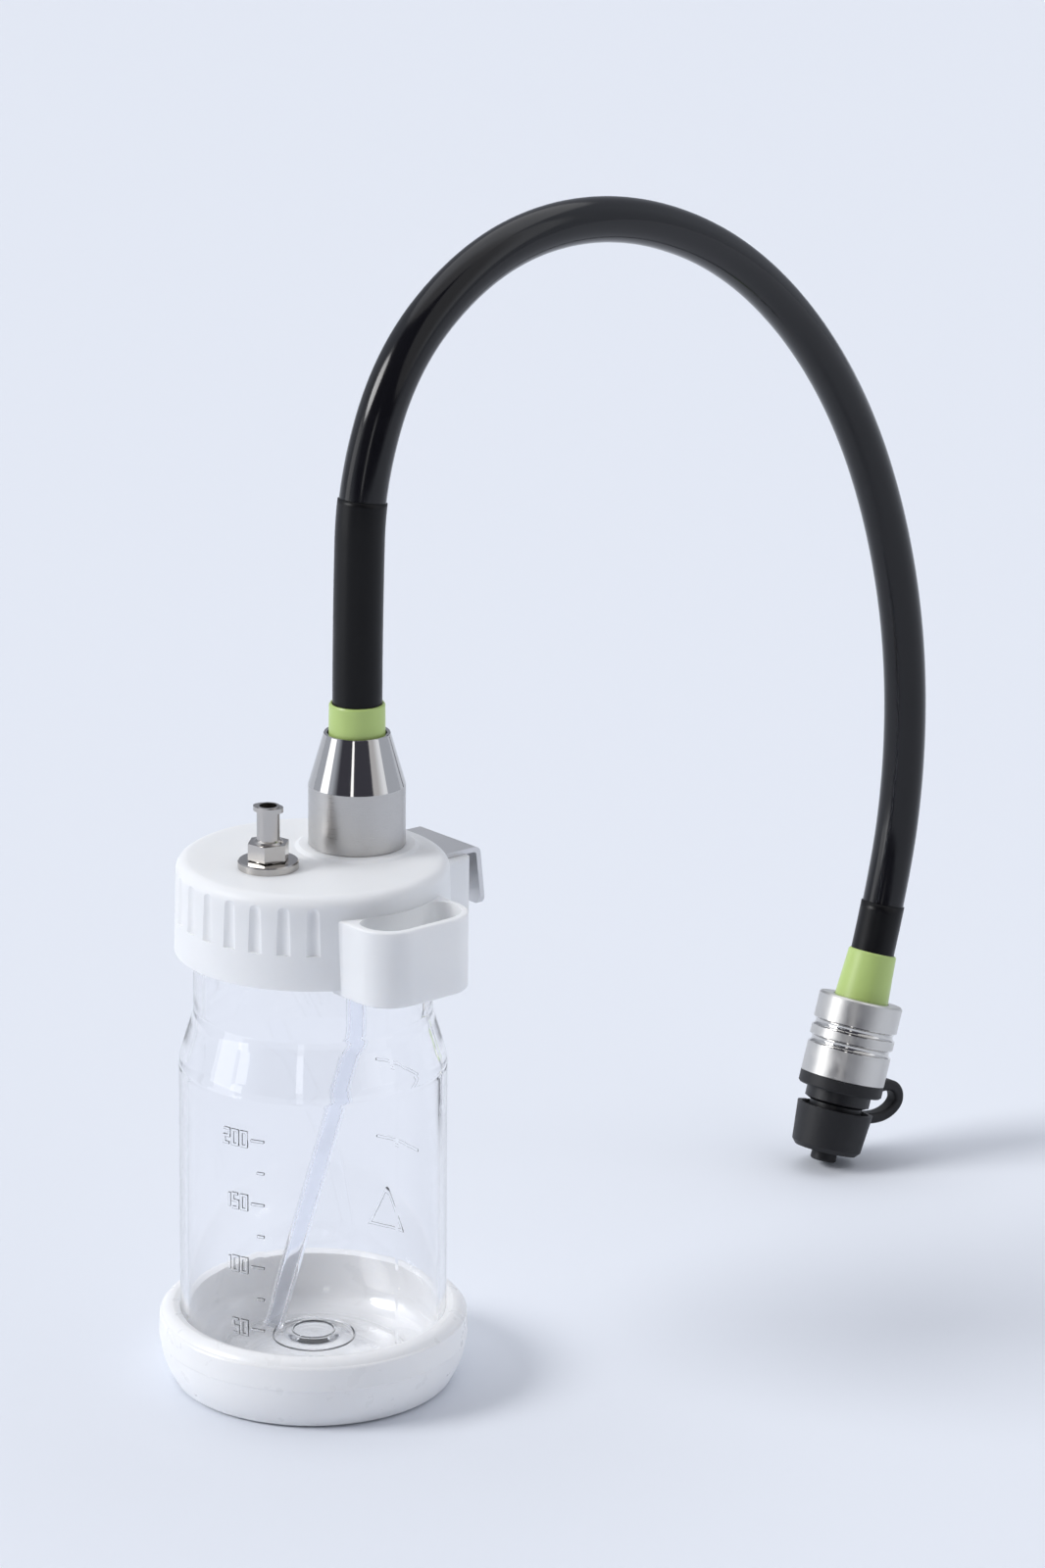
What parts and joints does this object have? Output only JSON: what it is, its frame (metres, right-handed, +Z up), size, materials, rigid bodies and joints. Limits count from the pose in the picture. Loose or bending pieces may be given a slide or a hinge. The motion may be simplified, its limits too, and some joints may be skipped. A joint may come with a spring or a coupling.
{
  "type": "endoscope water bottle",
  "caption": "Clear water bottle with rubber foot, screw lid, rinsing port and hanging hook; its black air-and-water hose feeds an endoscope.",
  "frame": {"origin": "centre of the underside of the rubber foot", "axes": "+Z up along the bottle axis, +Y towards the hanging hook, +X towards the connector holder on the lid"},
  "size_m": [0.0845, 0.2713, 0.2851],
  "materials": {
    "foot_rubber": "milky white silicone rubber, soft sheen",
    "bottle_clear": "clear moulded plastic, faint blue, glossy",
    "seal_silicone": "off-white silicone, matte",
    "lid_white": "white moulded plastic, fine satin",
    "steel_satin": "bead-blasted stainless sheet",
    "steel_turned": "turned stainless steel",
    "steel_polished": "polished stainless steel, fine turned lines",
    "hose_black": "black hose, semi-gloss",
    "sleeve_black": "black shrunk sleeve, satin",
    "ring_green": "light green ring, satin",
    "line_clear": "milky clear tube",
    "body_black": "black moulded plastic, satin",
    "rubber_black": "black rubber, matte"
  },
  "bodies": {
    "bottle": {"base_foot": "foot_rubber", "bottle": "bottle_clear"},
    "gasket": {"lid_gasket": "seal_silicone"},
    "lid": {"lid": "lid_white", "hook": "steel_satin", "luer_port": "steel_turned", "luer_seal": "seal_silicone", "luer_nut": "steel_turned", "hose_collar": "steel_polished", "hose_fitting": "steel_turned", "fitting_seal": "seal_silicone", "fitting_nut": "steel_turned", "hose": "hose_black", "water_line": "line_clear", "hose_sleeve_lower": "sleeve_black", "hose_ring_lower": "ring_green", "hose_sleeve_upper": "sleeve_black", "hose_ring_upper": "ring_green", "connector_sleeve": "steel_polished", "connector_body": "body_black", "connector_o_rings": "rubber_black", "connector_pipe": "steel_turned", "tip_cap_ring": "rubber_black", "tip_cap_strap": "rubber_black", "dip_tube": "line_clear", "tube_joiner": "steel_turned"},
    "tip_cap": {"tip_cap": "rubber_black"}
  },
  "joints": [
    {"name": "lid_rise", "type": "slide", "parent": "bottle", "child": "gasket", "axis": [0, 0, 1], "range_m": [0, 0.008]},
    {"name": "lid_turn", "type": "hinge", "parent": "gasket", "child": "lid", "pos_m": [0, 0, 0.12], "axis": [0, 0, 1], "range_deg": [0, 720]},
    {"name": "tip_cap_pull", "type": "slide", "parent": "lid", "child": "tip_cap", "axis": [0.0354, -0.3203, -0.9466], "range_m": [0, 0.012], "deforming": ["tip_cap_strap"]}
  ],
  "couplings": [
    {"joint": "lid_rise", "follows": "lid_turn", "m_per_rad": 0.00063662}
  ]
}
